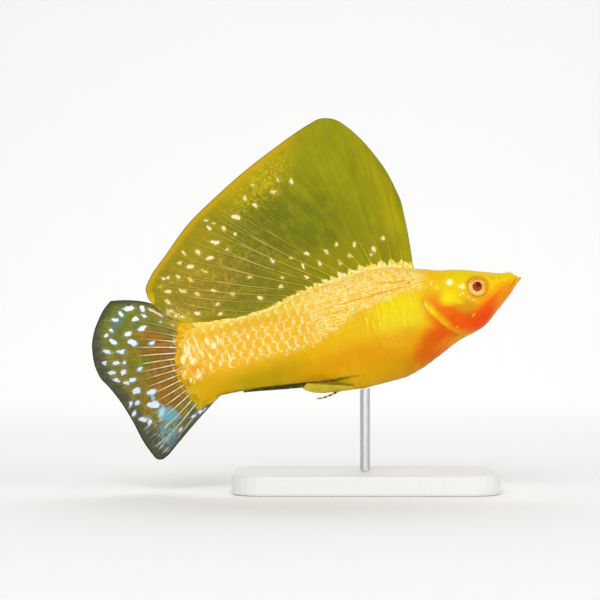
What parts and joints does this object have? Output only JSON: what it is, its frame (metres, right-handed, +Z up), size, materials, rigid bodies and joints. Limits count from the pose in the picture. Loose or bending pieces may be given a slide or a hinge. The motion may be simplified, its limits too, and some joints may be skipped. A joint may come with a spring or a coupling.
{
  "type": "sailfin molly",
  "caption": "life-size still model of a male sailfin molly in its gold form, nose tipped up, with the tall dorsal fin spread, held on a short rod over a flat base",
  "frame": {"origin": "centre of the underside of the stand's base, where it rests on the table", "axes": "+X towards the fish's head, +Z up, +Y towards the fish's left side"},
  "size_m": [0.1075, 0.036, 0.0932],
  "materials": {
    "skin": "satin golden orange skin with pale scale edges",
    "eye": "glossy, cream iris and dark red pupil",
    "dorsal_fin": "satin olive yellow membrane with pale rays and spots",
    "caudal_fin": "satin olive membrane, grey-blue margin, pale spots",
    "clear_fin": "satin pale yellow membrane",
    "dark_fin": "satin dark olive",
    "stand_base": "satin white paint",
    "stand_rod": "brushed"
  },
  "bodies": {
    "root": {"head": "skin", "torso": "skin", "tail": "skin", "eye_left": "eye", "eye_right": "eye", "dorsal_fin": "dorsal_fin", "caudal_fin": "caudal_fin", "pectoral_fin_left": "clear_fin", "pectoral_fin_right": "clear_fin", "pelvic_fin_left": "clear_fin", "pelvic_fin_right": "clear_fin", "gonopodium": "dark_fin", "stand_base": "stand_base", "stand_rod": "stand_rod"}
  },
  "joints": []
}
